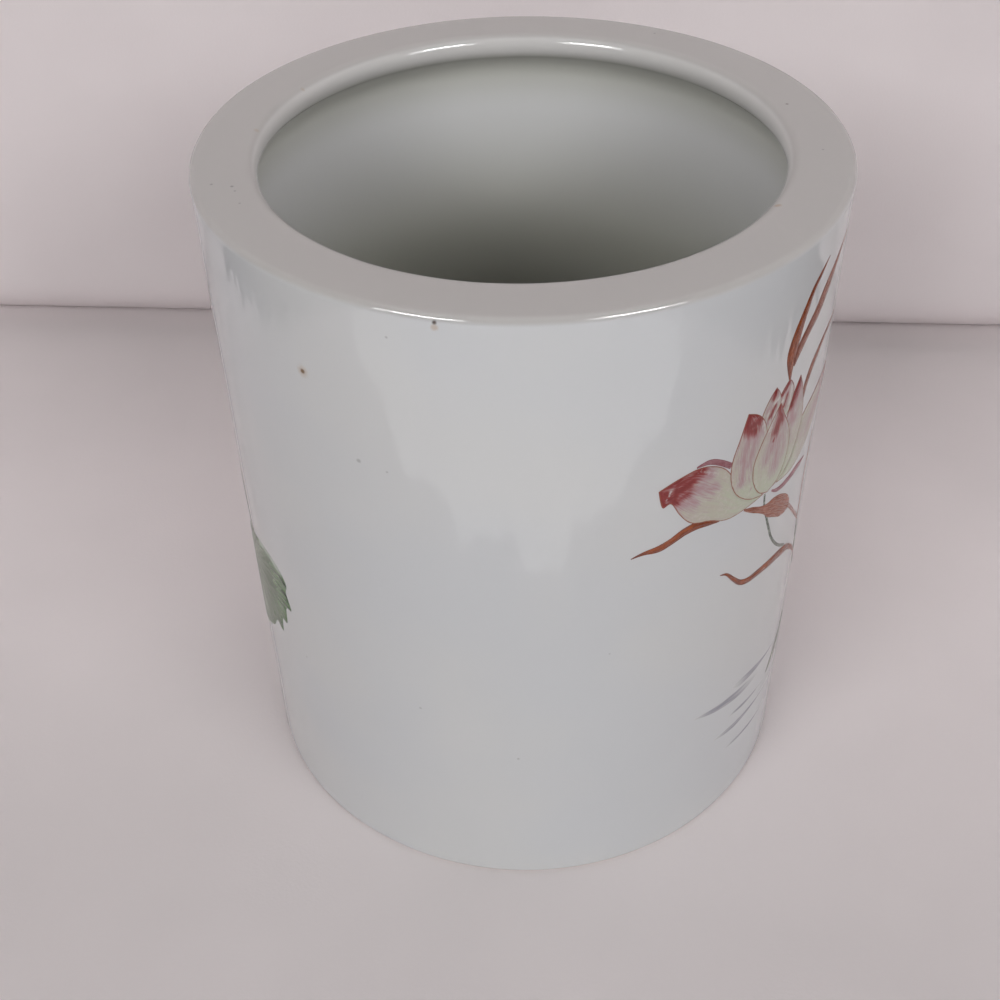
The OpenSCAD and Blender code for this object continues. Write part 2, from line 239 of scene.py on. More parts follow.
def even(line, count):
    """The same line with count points at even spacing along it."""
    step = np.linalg.norm(np.diff(line[:, :2], axis=0), axis=1)
    run = np.concatenate([[0], np.cumsum(step)])
    at = np.linspace(0, run[-1], count)
    return np.stack([np.interp(at, run, line[:, k]) for k in range(line.shape[1])], -1)


def length_of(line):
    return np.linalg.norm(np.diff(line[:, :2], axis=0), axis=1).sum()


def distance(points, line, ring=True):
    """Shortest distance from each point to an outline, or to an open line."""
    a = line[:, :2]
    b = np.roll(a, -1, 0)
    if not ring:
        a, b = a[:-1], b[:-1]
    best = np.full(len(points), 1e9)
    for p, q in zip(a, b):
        d = q - p
        t = np.clip(((points - p) @ d) / max(d @ d, 1e-12), 0, 1)
        best = np.minimum(best, np.linalg.norm(points - p - t[:, None] * d, axis=1))
    return best


def inside(points, line):
    """True for each point inside a closed outline."""
    x, y = points[:, 0], points[:, 1]
    odd = np.zeros(len(points), bool)
    for p, q in zip(line, np.roll(line, -1, 0)):
        if p[1] != q[1]:
            crosses = (p[1] > y) != (q[1] > y)
            odd ^= crosses & (x < (q[0] - p[0]) * (y - p[1]) / (q[1] - p[1]) + p[0])
    return odd


def ease(value, low, high):
    """0 below low, 1 above high, smooth between."""
    t = np.clip((value - low) / (high - low), 0, 1)
    return t * t * (3 - 2 * t)


DAB_REACH = 1.35      # where a dab has faded to nothing, in half widths


def dabbed(points, dabs):
    """How strongly brush dabs cover each point, strongest on their middle line.
    A dab is (start, end, half width, strength)."""
    share = np.zeros(len(points))
    for start, end, half, strength in dabs:
        gap = distance(points, np.array([start, end], float), ring=False)
        share = np.maximum(share, strength * np.clip(1 - gap / (DAB_REACH * half), 0, 1))
    return share


# ---- Enamel films ----

STEPS = 6             # curve steps for each stretch of an outline
CELL = 0.35           # mesh spacing in a film, mm
LEAF_CELL = 0.42      # mesh spacing in a leaf, mm
FILM = 0.22           # thickness of a petal or leaf in the middle, mm
STROKE = 0.16         # of a brush stroke
WASH = 0.1            # of a water stroke
FILM_EDGE = 0.05      # of every film at its edge
DOME = 1.3            # width over which a film rises from its edge
SUNK = 0.03           # how far its underside is keyed into the glaze
TUCK = 0.5            # how far a film runs under the one that covers it
TUCKED = 0.02         # how high it lies there

RIB_BOW = 0.06        # how far a leaf's rib bows out, as a share of its length
RIB_STEPS = 8         # curve steps in each half of a rib
RIB_FORK = 10         # the step at which it forks
FORK_TURNS = (-0.32, 0.3)   # turns of the two branches, in radians
FORK_LENGTH = 0.9     # their length, as a share of what is left of the rib
FORK_THINNER = 0.05   # how much thinner they are painted, mm

PREFIX = "enamel_"    # before a node's name in the name of its film

outlines = {}


def film(name, spots, faces, marks, covered_by=(), thick=FILM):
    """A closed thin solid on the wall. spots are (arc, height) points, and marks the
    attributes that the material reads."""
    edge = marks["edge"]
    lift = FILM_EDGE + (thick - FILM_EDGE) * ease(edge, 0, DOME)
    keep = np.ones(len(spots), bool)
    for cover in covered_by:
        line = outlines[cover]
        depth = distance(spots, line) * np.where(inside(spots, line), 1, -1)
        lift = lift + (TUCKED - lift) * ease(depth, -TUCK, 0)
        keep &= depth < TUCK
    faces = [f for f in faces if any(keep[i] for i in f)]
    used = sorted({i for f in faces for i in f})
    new = {old: i for i, old in enumerate(used)}
    faces = [[new[i] for i in f] for f in faces]
    spots, lift = spots[used], lift[used]
    top = on_wall(spots[:, 0], spots[:, 1], lift)
    bottom = on_wall(spots[:, 0], spots[:, 1], np.full(len(spots), -SUNK))
    count = len(spots)
    rims = {}
    for f in faces:
        for a, b in zip(f, f[1:] + f[:1]):
            rims[(a, b)] = rims.get((a, b), 0) + 1
    sides = [[b, a, a + count, b + count] for a, b in rims if (b, a) not in rims]
    under = [[i + count for i in reversed(f)] for f in faces]
    obj = finish_mesh(PREFIX + name, np.vstack([top, bottom]), faces + under + sides, 60)
    for key, values in marks.items():
        values = np.concatenate([values[used], values[used]])
        kind = "FLOAT_VECTOR" if values.ndim == 2 else "FLOAT"
        layer = obj.data.attributes.new(key, kind, "POINT")
        layer.data.foreach_set("vector" if values.ndim == 2 else "value", values.ravel())
    return obj


def flow_mark(spots, across, along):
    """Where a point lies across and along the brush's way in mm, and which film it is on."""
    return np.stack([across, along, np.full(len(spots), spots[:, 0].mean())], -1)


def grid_faces(rows, columns):
    """The squares between points laid out row by row."""
    return [
        [r * columns + c, (r + 1) * columns + c, (r + 1) * columns + c + 1, r * columns + c + 1]
        for r in range(rows - 1)
        for c in range(columns - 1)
    ]


def petal_film(name, up, down, covered_by=(), red=(), rose=(), pale=()):
    """A petal between two sides: up runs from base to tip, down from tip to base.
    red, rose and pale are the dabs of those colours on it. Rose also grows to the tip."""
    left, right = curve(up, STEPS), curve(down, STEPS)[::-1]
    outlines[name] = np.vstack([left, right[::-1][1:-1]])
    rows = int(max(length_of(left), length_of(right)) / CELL) + 2
    left, right = even(left, rows), even(right, rows)
    width = np.linalg.norm(left - right, axis=1).max()
    columns = int(width / CELL) + 3
    run = np.linspace(0.004, 0.996, rows)
    left = np.stack([np.interp(run, np.linspace(0, 1, rows), left[:, k]) for k in (0, 1)], -1)
    right = np.stack([np.interp(run, np.linspace(0, 1, rows), right[:, k]) for k in (0, 1)], -1)
    side = np.linspace(0, 1, columns)
    spots = left[:, None] * (1 - side[None, :, None]) + right[:, None] * side[None, :, None]
    spots = spots.reshape(-1, 2)
    along = np.repeat(run, columns)
    across = np.tile(side * 2 - 1, rows)
    half = np.repeat(np.linalg.norm(left - right, axis=1) / 2, columns)
    marks = {
        "along": along,
        "across": across,
        "edge": distance(spots, outlines[name]),
        "red": dabbed(spots, red),
        "rose": np.maximum(0.85 * dabbed(spots, rose), 0.6 * ease(along, 0.35, 0.95)),
        "pale": dabbed(spots, pale),
        "flow": flow_mark(spots, across * (half * 0.5 + width * 0.25), along * length_of(left)),
    }
    return film(name, spots, grid_faces(rows, columns), marks, covered_by)


def stroke_film(name, points, covered_by=(), thick=STROKE):
    """A brush stroke along (arc, height, width) points."""
    line = curve(points, STEPS)
    line = even(line, int(length_of(line) / CELL) + 2)
    line[:, 2] = np.maximum(line[:, 2], 0.3)
    ahead = np.gradient(line[:, :2], axis=0)
    normal = np.stack([-ahead[:, 1], ahead[:, 0]], -1)
    normal /= np.linalg.norm(normal, axis=1)[:, None]
    columns = 2 * int(line[:, 2].max() / CELL / 2) + 7
    side = np.linspace(-1, 1, columns)
    half = line[:, 2] / 2
    spots = line[:, None, :2] + side[None, :, None] * (half[:, None] * normal)[:, None]
    outlines[name] = np.vstack([spots[:, 0], spots[::-1, -1]])
    rows = len(line)
    spots = spots.reshape(-1, 2)
    along = np.repeat(np.linspace(0, 1, rows), columns)
    across = np.tile(side, rows)
    reach = np.repeat(half, columns)
    marks = {
        "along": along,
        "across": across,
        "edge": (1 - np.abs(across)) * reach,
        "flow": flow_mark(spots, across * reach, along * length_of(line)),
    }
    return film(name, spots, grid_faces(rows, columns), marks, covered_by, thick)


def leaf_film(name, outline, heart, veins, dark=(), pale=()):
    """A leaf of rings about its heart. veins are the outline points that they run to,
    dark and pale the dabs over them."""
    line = closed_curve(outline, STEPS)
    line = even(np.vstack([line, line[:1]]), int(length_of(line) / LEAF_CELL))[:-1]
    outlines[name] = line
    heart = np.array(heart, float)
    rings = int(np.linalg.norm(line - heart, axis=1).max() / LEAF_CELL) + 2
    share = np.linspace(0.01, 1, rings)
    spots = (heart + share[:, None, None] * (line - heart)[None]).reshape(-1, 2)
    n = len(line)
    faces = [
        [r * n + c, r * n + (c + 1) % n, (r + 1) * n + (c + 1) % n, (r + 1) * n + c]
        for r in range(rings - 1)
        for c in range(n)
    ] + [list(range(n))[::-1]]
    away = spots - heart
    vein = np.full(len(spots), 1e9)
    for i in veins:
        end = np.array(outline[i], float)
        way = end - heart
        middle = (heart + end) / 2 + RIB_BOW * np.array([-way[1], way[0]])
        rib = curve([heart, middle, end], RIB_STEPS)
        vein = np.minimum(vein, distance(spots, rib, ring=False))
        fork = rib[RIB_FORK]
        for turn in FORK_TURNS:
            spin = np.array([[math.cos(turn), -math.sin(turn)], [math.sin(turn), math.cos(turn)]])
            branch = np.array([fork, fork + FORK_LENGTH * spin @ (end - fork)])
            vein = np.minimum(vein, FORK_THINNER + distance(spots, branch, ring=False))
    reach = np.linalg.norm(away, axis=1)
    marks = {
        "along": np.repeat(share, n),
        "across": np.sin(np.arctan2(away[:, 1], away[:, 0])),
        "edge": distance(spots, line),
        "vein": vein,
        "dark": dabbed(spots, dark),
        "pale": dabbed(spots, pale),
        "flow": np.stack([np.arctan2(away[:, 1], away[:, 0]) * 12, reach,
                          np.full(len(spots), heart[0])], -1),
    }
    return film(name, spots, faces, marks)


def strokes(table):
    """Brush strokes from (name, names of the films that cover it, points)."""
    return [stroke_film(name, points, covers) for name, covers, points in table]


# ---- The painting, in drawing order ----

def lotus():
    """The open flower at the right of the front."""
    front = [
        petal_film("petal_front_centre",
            [(75.5, 136), (71, 138.5), (67.8, 144), (67, 150), (69, 156), (72, 161), (76, 166.5)],
            [(76, 166.5), (79, 161), (82.5, 155), (84, 149), (83.5, 143), (80.5, 138), (75.5, 136)],
            red=[((76.2, 165.6), (76.9, 160.5), 2.6, 1), ((76.8, 162), (75, 157.6), 2.8, 1),
                 ((74.7, 155.2), (74.5, 154.7), 0.8, 1)],
            rose=[((76, 158), (74.5, 152), 4, 0.95), ((74, 153), (72.4, 149.5), 3, 0.85),
                  ((77.5, 154), (77, 144), 4, 0.8), ((79.5, 158), (80, 147), 3.2, 0.65)],
            pale=[((71.8, 159.6), (74, 164), 1.2, 1)],
        ),
        petal_film("petal_front_left",
            [(73, 136.5), (67, 138.5), (61.5, 143), (58.5, 149), (58, 156), (60, 163), (62, 170)],
            [(62, 170), (66.5, 167.5), (70, 163), (72, 156), (73, 147), (73, 136.5)],
            ["petal_front_centre"],
            red=[((62.2, 169.5), (62.4, 165.5), 3, 1), ((62.4, 165), (66.6, 165.6), 3, 1),
                 ((63.2, 164), (65.5, 163), 2.4, 0.95), ((62.4, 169.6), (66, 167.4), 1.8, 0.8)],
            rose=[((63, 163), (66.5, 161), 4, 1), ((63.5, 161), (62, 155), 3.6, 0.95),
                  ((66, 160), (64.4, 152), 3.2, 0.85), ((62.6, 155), (62.6, 147), 2.6, 0.85),
                  ((66, 154), (65.4, 146), 2, 0.55), ((66.8, 142.6), (66.6, 142), 0.6, 0.9)],
            pale=[((68.5, 164.5), (71, 157), 1.3, 0.7)],
        ),
        petal_film("petal_front_right",
            [(78, 136.5), (79, 145), (79.5, 154), (81, 162), (83, 166.5), (85.5, 170)],
            [(85.5, 170), (88, 165), (90, 159), (91, 152), (89, 145), (85, 139), (78, 136.5)],
            ["petal_front_centre"],
            red=[((85.6, 169), (84, 165.4), 2.4, 1), ((84.4, 166.4), (82, 162.4), 2.6, 1)],
            rose=[((85, 166), (83, 160), 4.4, 1), ((82, 162), (84, 156), 3.6, 1),
                  ((86.5, 164), (86.5, 156), 3, 0.6), ((83, 158), (84, 149), 3, 0.5)],
        ),
        petal_film("petal_open_left",
            [(74, 136.5), (60, 135.8), (52, 139), (46, 141), (42, 145.5), (39, 150.5),
             (36.5, 150), (35, 156)],
            [(35, 156), (40, 158), (46, 159.3), (51, 158.3), (56, 155), (61, 148), (66, 141),
             (74, 136.5)],
            ["petal_front_left", "petal_front_centre"],
            red=[((35.4, 156), (36.6, 150), 2.2, 1), ((36, 156.8), (41, 157.8), 2.4, 1),
                 ((37, 150.4), (40.4, 150.6), 2, 1), ((39.8, 151), (40.2, 155), 2.3, 1),
                 ((40.5, 156.6), (47.5, 158.2), 2.6, 0.95), ((40.5, 154), (45, 156), 2.8, 1),
                 ((40, 151), (44, 152.5), 2.4, 0.75), ((37, 154.6), (38.8, 152.4), 2.8, 1)],
            rose=[((40, 151), (48.5, 152.8), 4.4, 1), ((42, 156), (50.5, 156), 3.8, 1),
                  ((40.6, 149.6), (46.5, 148), 3, 0.95), ((41, 153), (52, 150.6), 3.8, 0.85),
                  ((42, 146.6), (47, 145), 2.2, 0.5), ((48, 154), (54.5, 151), 2.6, 0.45)],
            pale=[((38.6, 155.1), (38.1, 153.7), 0.7, 0.8), ((37.7, 153.3), (37.4, 152.5), 0.5, 0.7),
                  ((47, 158.2), (54, 155), 1.2, 0.5)],
        ),
        petal_film("petal_open_right",
            [(80, 136.5), (88, 135.5), (96, 137.5), (103, 142), (109, 149), (114, 157)],
            [(114, 157), (106, 157), (98, 155.5), (91, 153), (84, 146), (80, 136.5)],
            ["petal_front_right", "petal_front_centre"],
            red=[((113.5, 156.4), (109, 153.5), 1.6, 0.7)],
            rose=[((112, 155.6), (98, 147), 6, 0.75), ((104, 155), (92, 146), 4, 0.5),
                  ((106, 149), (92, 139.5), 3, 0.5)],
        ),
    ]
    back = [
        petal_film("petal_back_left",
            [(72, 158), (68.5, 162), (67.8, 166), (70, 170.3), (72.8, 173)],
            [(72.8, 173), (75, 170), (76, 166), (75.5, 161), (72, 158)],
            ["petal_front_centre", "petal_front_left"],
            red=[((73, 172.6), (71.8, 170), 1.3, 1), ((72.8, 167), (71.2, 164.4), 1.2, 1)],
            rose=[((73, 172), (70, 167), 1.8, 0.9), ((73.4, 168), (70.8, 162.6), 1.9, 0.8),
                  ((69.4, 167), (69.2, 163), 0.9, 0.5)],
            pale=[((74.6, 169), (72.6, 168.2), 0.7, 1), ((70.4, 166.8), (69.6, 163.8), 0.7, 0.8)],
        ),
        petal_film("petal_back_centre",
            [(77, 158), (74, 163), (74.5, 168), (76.5, 170.5), (79, 172.3)],
            [(79, 172.3), (81, 170.3), (82.5, 167), (82, 162), (77, 158)],
            ["petal_front_centre", "petal_front_right", "petal_back_left"],
            red=[((79, 171.6), (75.6, 168.6), 1.1, 0.8), ((78.4, 167.6), (77.6, 164), 1.2, 0.8)],
            rose=[((79.4, 171.6), (75, 167), 1.9, 1), ((79, 169), (77.4, 163), 2.2, 0.9),
                  ((81.6, 168), (81, 163), 0.9, 0.5)],
            pale=[((80.6, 169.4), (80.2, 164), 1.0, 0.9), ((76.6, 168.2), (76.2, 165.4), 0.6, 0.9)],
        ),
    ]
    folds = strokes([
        ("petal_open_left_fold", ["petal_open_left", "petal_front_left"],
         [(46, 159.8, 0.6), (50, 160, 1.6), (54, 158, 1.8), (58, 155, 1.8)]),
        ("petal_open_right_fold", ["petal_open_right"],
         [(78, 135, 0.6), (82, 133, 1.6), (88, 132.6, 2.2), (94, 132.9, 2.4), (100, 132.4, 0.6)]),
    ])
    return {"petal": front, "back_petal": back, "rose": folds}


def blades():
    """Rust-red leaves, the sepal and the stems about the flower."""
    films = strokes([
        ("blade_upper_short", ["petal_back_centre"],
         [(79, 172, 0.9), (78.2, 177, 3.2), (78.2, 181, 4.8), (79.6, 186, 4.4), (82, 191, 3.2),
          (85, 196, 2.2), (88.5, 199, 1.6), (93, 202, 0.3)]),
        ("blade_upper_long", ["blade_upper_short"],
         [(79.5, 176, 2), (82, 180, 3.6), (86, 184, 4), (90, 187, 4.6), (94, 191, 4.8),
          (97.5, 194, 4), (101, 196.5, 2.6), (105, 198.8, 1.2), (110, 200.5, 0.3)]),
        ("blade_right", ["petal_front_right"],
         [(89.5, 160, 1), (90, 164, 2.6), (92.5, 168, 3.2), (96, 171, 2.8), (100, 173.3, 2.2),
          (105, 174.8, 1.3), (111, 175.5, 0.3)]),
        ("blade_lower_left", ["petal_open_left"],
         [(28.5, 134.7, 0.3), (32, 135.6, 1.2), (36.5, 135.8, 2.4), (40, 137, 2.4),
          (44, 138.8, 2.8), (48, 139.3, 2.8), (52, 138.4, 2), (56, 137.2, 0.8)]),
        ("blade_hooked", [],
         [(58.8, 115.2, 0.3), (61.5, 114, 0.9), (64.5, 110.5, 1.4), (68, 106.8, 1.8),
          (72, 105, 2.2), (77, 104.5, 2.6), (83, 103.6, 3), (89, 102.4, 3.2), (95, 100.2, 3),
          (99, 98, 2), (104, 93.5, 1.8), (110, 87.5, 1.4), (116, 80, 0.6)]),
        ("sepal_brown", ["petal_open_left", "petal_front_left"],
         [(65.5, 135.6, 0.6), (69, 133.6, 1.8), (73, 131.2, 2.2), (76, 129.6, 3.4),
          (79, 128.2, 6.2), (83, 126.2, 7.2), (87, 123.4, 7), (90, 121.2, 4.6), (91.8, 119.8, 1.2)]),
    ])
    pink = strokes([
        ("stem_sepal", ["sepal_brown"],
         [(91, 121, 1.3), (95, 116.6, 1.3), (99, 112, 1.2), (103, 107.6, 1.2), (106.5, 103.5, 1.1)]),
        ("stem_petal", ["petal_open_right", "stem_sepal"],
         [(108.5, 136, 0.5), (106.6, 127, 0.9), (105.6, 118, 1), (106.4, 109, 1), (106.8, 103, 1)]),
    ])
    green = strokes([
        ("stem_dotted", ["petal_front_centre", "sepal_brown", "blade_hooked"],
         [(74.5, 136, 0.8), (75.2, 131, 0.9), (77.2, 126, 0.9), (79.5, 120.5, 1), (82, 115, 1),
          (85.5, 110, 1), (89.5, 106, 1), (94, 102.8, 0.8)]),
        ("stem_flower", ["blade_hooked", "stem_sepal", "stem_petal"],
         [(106.6, 104, 1.2), (109, 96, 1.4), (114, 84, 1.5), (122, 70, 1.5), (129, 58, 1.4),
          (134, 46, 0.8)]),
    ])
    pale = {PREFIX + "blade_upper_long", PREFIX + "blade_right"}
    return {
        "rust": [f for f in films if f.name not in pale and "sepal" not in f.name],
        "pale_rust": [f for f in films if f.name in pale],
        "sepal": [f for f in films if "sepal" in f.name],
        "pink_stem": pink,
        "stem": green,
    }


def pond():
    """The leaf at the left, the water at the right, and the guessed far side."""
    leaves = [
        leaf_film("leaf_left",
            [(-108, 98), (-99, 101), (-91, 101.5), (-85, 99.5), (-82, 96), (-83, 92), (-81.2, 86),
             (-84.5, 84.5), (-85.8, 77), (-89, 76.5), (-90.5, 69.5), (-94.5, 71), (-99, 65),
             (-104, 61), (-110, 57), (-117, 52), (-125, 50), (-130, 53.5), (-135, 52),
             (-138, 58), (-138.5, 66), (-136.5, 75), (-131, 84), (-122, 92)],
            (-114, 84),
            [1, 3, 4, 6, 8, 10, 12, 14, 16, 18, 20, 22],
            dark=[((-93.8, 94.1), (-91, 96.4), 0.6, 0.7), ((-91, 96.4), (-86, 97.6), 0.7, 0.8),
                  ((-86, 97.6), (-82.6, 96), 0.9, 1), ((-84.2, 92), (-82.2, 89.6), 0.9, 1),
                  ((-88, 88), (-82.4, 86), 0.8, 0.6), ((-92, 76.4), (-88.6, 74), 0.8, 0.7),
                  ((-87, 82.4), (-85.6, 79), 0.7, 0.6), ((-95.5, 92.5), (-90, 90.5), 0.7, 0.4)],
            pale=[((-100, 101), (-91, 101.8), 2.6, 0.7), ((-91, 101.8), (-85, 100), 2.4, 0.8),
                  ((-82.2, 94), (-82.6, 92.6), 1, 0.6)],
        ),
        leaf_film("leaf_back",
            [(168, 118), (176, 128), (188, 134), (202, 134), (214, 128), (222, 118), (226, 109),
             (219, 110), (214, 105), (206, 108), (199, 103), (191, 107), (183, 103), (177, 108),
             (170, 107), (164, 111)],
            (197, 117),
            [0, 1, 2, 3, 4, 6, 8, 10, 12, 14],
            dark=[((183, 104), (186, 108), 0.8, 0.7), ((199, 104), (198, 109), 0.8, 0.8),
                  ((214, 106), (210, 110), 0.8, 0.7), ((168, 114), (174, 115), 0.8, 0.6)],
            pale=[((180, 130), (190, 134), 2.4, 0.6), ((203, 134), (213, 129), 2.2, 0.5)],
        ),
    ]
    grass = strokes([
        ("water_grass", [],
         [(97.5, 42.5, 0.7), (100.5, 44.5, 2.6), (104.5, 48, 3.4), (108.5, 52.5, 2.4), (112, 58, 0.5)]),
    ])
    stems = strokes([
        ("leaf_left_stem", ["leaf_left"],
         [(-108, 97, 0.8), (-112, 103, 0.8), (-118, 112, 0.9), (-127, 122, 1), (-136, 124, 1),
          (-146, 117, 1.1), (-153, 104, 1.2), (-158, 85, 1.2), (-161, 62, 1.2), (-162, 46, 0.7)]),
        ("leaf_back_stem", ["leaf_back"],
         [(197, 104, 1.2), (196, 92, 1.5), (192, 78, 1.6), (186, 62, 1.5), (182, 46, 0.8)]),
    ])
    bud = [
        petal_film("bud_petal_centre",
            [(-228, 138), (-234, 144), (-236, 153), (-233, 163), (-228, 172)],
            [(-228, 172), (-224, 163), (-221.5, 153), (-223, 144), (-228, 138)],
            red=[((-228, 171.6), (-228.6, 165), 2.4, 1)],
            rose=[((-228.5, 168), (-229, 154), 4, 0.9), ((-231, 160), (-231, 148), 2.4, 0.5)],
        ),
        petal_film("bud_petal_left",
            [(-228, 138), (-236, 141), (-240.5, 149), (-240, 158), (-235, 167)],
            [(-235, 167), (-233, 155), (-228, 138)],
            ["bud_petal_centre"],
            red=[((-235.2, 166.6), (-236.4, 161.6), 1.8, 1)],
            rose=[((-236, 163), (-238, 150), 2.6, 0.9)],
        ),
        petal_film("bud_petal_right",
            [(-228, 138), (-225, 155), (-222, 166)],
            [(-222, 166), (-217.5, 157), (-217, 148), (-221, 141), (-228, 138)],
            ["bud_petal_centre"],
            red=[((-222, 165.6), (-220.6, 161), 1.8, 1)],
            rose=[((-221, 163), (-219.4, 150), 2.4, 0.9)],
        ),
    ]
    stems += strokes([
        ("bud_stem", ["bud_petal_centre", "bud_petal_left", "bud_petal_right"],
         [(-228, 138, 1.6), (-227, 124, 1.5), (-222, 106, 1.5), (-216, 86, 1.5), (-212, 66, 1.4),
          (-211, 46, 0.7)]),
    ])
    wash = {
        "water_line_2": [
            (72.5, 58, 1), (76, 57.2, 3.2), (82, 56.4, 3.4), (88, 55.6, 2.6), (94, 55, 1.5),
            (101, 54.5, 1), (111, 54.8, 0.5)],
        "water_line_1": [
            (54.5, 56.2, 0.4), (60, 55, 2), (66, 53.8, 3), (72, 53, 3.8),
            (78, 52.2, 3.8), (84, 51.6, 2.6), (90, 51.4, 0.4)],
        "water_line_3": [(72, 44.2, 0.5), (76, 43.8, 1.6), (82, 43, 1.8), (88, 42.4, 1.4), (95, 42, 0.4)],
        "water_line_4": [
            (65.5, 38, 0.5), (70, 37.4, 2), (76, 36.8, 2.6), (82, 36.6, 2.2),
            (90, 36.2, 1.6), (98, 35.6, 0.9), (105, 35.4, 0.4)],
        "water_line_5": [(72, 28, 0.5), (77, 27.6, 1.6), (84, 26.8, 1.7), (92, 26, 1.4), (101, 25.4, 0.5)],
        "water_back_1": [(166, 41, 0.5), (176, 39.5, 2.2), (188, 38.6, 2.8), (200, 38.4, 2), (212, 39, 0.5)],
        "water_back_2": [(176, 31, 0.5), (184, 30, 1.6), (194, 29.6, 1.8), (205, 30, 0.5)],
        "water_back_3": [
            (-232, 41, 0.5), (-222, 39.6, 2), (-210, 39, 2.6), (-198, 39.4, 1.8),
            (-186, 40.4, 0.5)],
    }
    covers = {"water_line_2": ["water_grass"], "water_line_1": ["water_line_2"]}
    lines = [stroke_film(n, p, covers.get(n, ()), WASH) for n, p in wash.items()]
    return {"leaf": leaves, "grass": grass, "stem": stems, "bud": bud, "wash": lines}


# ---- Materials ----

class Paint:
    """A material's node tree, built by short calls."""

    def __init__(self, name, roughness=0.1, ior=1.5):
        self.material = bpy.data.materials.new(name)
        self.material.use_nodes = True
        self.tree = self.material.node_tree
        self.shader = self.tree.nodes["Principled BSDF"]
        self.put(self.shader, "Roughness", roughness)
        self.put(self.shader, "IOR", ior)

    def put(self, node, socket, value):
        target = node.inputs[socket]
        if isinstance(value, bpy.types.NodeSocket):
            self.tree.links.new(value, target)
        elif isinstance(value, tuple) and len(value) == 3 and target.type == "RGBA":
            target.default_value = (*value, 1)
        else:
            target.default_value = value

    def node(self, kind, settings=None, **inputs):
        made = self.tree.nodes.new("ShaderNode" + kind)
        for key, value in (settings or {}).items():
            setattr(made, key, value)
        for key, value in inputs.items():
            self.put(made, key.replace("_", " "), value)
        return made

    def math(self, operation, a, b=0.0):
        made = self.node("Math", {"operation": operation})
        self.put(made, 0, a)
        self.put(made, 1, b)
        return made.outputs[0]

    def add(self, a, b):
        return self.math("ADD", a, b)

    def times(self, a, b):
        return self.math("MULTIPLY", a, b)

    def ease(self, value, low, high, bottom=0.0, top=1.0):
        """Goes smoothly from bottom, where value is low, to top, where it is high."""
        made = self.node("MapRange", {"interpolation_type": "SMOOTHSTEP"})
        for key, v in (("Value", value), ("From Min", low), ("From Max", high),
                       ("To Min", bottom), ("To Max", top)):
            self.put(made, key, v)
        return made.outputs[0]

    def marks(self, *names):
        """Some of the film's attributes."""
        for name in names:
            made = self.node("Attribute", {"attribute_name": name})
            yield made.outputs["Vector" if name == "flow" else "Fac"]

    def place(self):
        """The point's own place on the object, in metres."""
        return self.node("TexCoord").outputs["Object"]

    def stretched(self, vector, scale):
        """A vector times another, part by part."""
        made = self.node("VectorMath", {"operation": "MULTIPLY"})
        self.put(made, 0, vector)
        self.put(made, 1, scale)
        return made.outputs[0]

    def parts(self, vector):
        """The outputs X, Y and Z of a vector."""
        made = self.node("SeparateXYZ")
        self.put(made, 0, vector)
        return made.outputs

    def swing(self, value, amount):
        """A value about 0.5 turned into one about 0, times an amount."""
        return self.times(self.add(value, -0.5), amount)

    def streaks(self, flow, across, along, detail=2.0, rough=0.5):
        """Noise on a film, with so many streaks a mm across the brush's way and along it."""
        return self.noise(self.stretched(flow, (across, along, 1.0)), 1.0, detail, rough)

    def noise(self, vector, scale, detail=2.0, rough=0.5):
        made = self.node("TexNoise", Vector=vector, Scale=scale, Detail=detail, Roughness=rough)
        return made.outputs["Fac"]

    def mix(self, share, a, b):
        made = self.node("Mix", {"data_type": "RGBA"})
        self.put(made, 0, share)
        self.put(made, 6, a if not isinstance(a, tuple) else (*a, 1))
        self.put(made, 7, b if not isinstance(b, tuple) else (*b, 1))
        return made.outputs[2]

    def bump(self, height, distance_mm, under=None):
        made = self.node("Bump", Height=height, Distance=distance_mm * MM, Strength=1.0)
        if under is not None:
            self.put(made, "Normal", under)
        return made.outputs[0]

    def finish(self, colour, normal=None, roughness=None):
        self.put(self.shader, "Base Color", colour)
        if normal is not None:
            self.put(self.shader, "Normal", normal)
        if roughness is not None:
            self.put(self.shader, "Roughness", roughness)
        return self.material


GLAZE = (0.610, 0.618, 0.622)
GLAZE_COOL = (0.590, 0.605, 0.622)
# Painted shade: the flat rim top is darker and warmer than the wall
RIM_TOP_SHADE = (0.52, 0.50, 0.485)
# Painted highlight: a brighter band on the lip
LIP_HIGHLIGHT = (0.69, 0.675, 0.665)
# Painted shade: a darker band on the inside wall under the lip
UNDER_LIP_SHADE = (0.56, 0.56, 0.52)
# Painted light and shade inside: lighter near the top, darker and greener towards the bottom
INSIDE_TOP_LIT = (0.725, 0.725, 0.73)
INSIDE_DEEP_SHADE = (0.39, 0.39, 0.345)
# Iron spots and stains in the glaze: place as (arc or angle, height or radius), size in
# mm, strength and colour. Wall places are (arc, height), rim places (degrees, radius).
IRON = (0.06, 0.035, 0.02)
TAN = (0.42, 0.27, 0.14)
GREY = (0.20, 0.20, 0.20)
WALL_SPOTS = [
    (-58, 186, 1.0, 1.0, IRON), (-58, 186, 2.4, 0.35, TAN), (-43, 164, 0.9, 0.45, GREY),
    (-32, 204, 0.5, 0.4, GREY), (-35, 163, 0.5, 0.35, GREY), (-31, 75, 0.6, 0.35, GREY),
    (-76, 70, 0.6, 0.4, GREY), (-2, 58, 0.6, 0.4, GREY), (-20, 210.2, 0.8, 0.9, IRON),
    (-20, 208.8, 1.2, 0.45, TAN), (24, 100, 0.5, 0.3, GREY), (150, 176, 0.8, 0.6, IRON),
    (-170, 150, 0.6, 0.5, GREY), (236, 88, 0.7, 0.5, IRON),
]
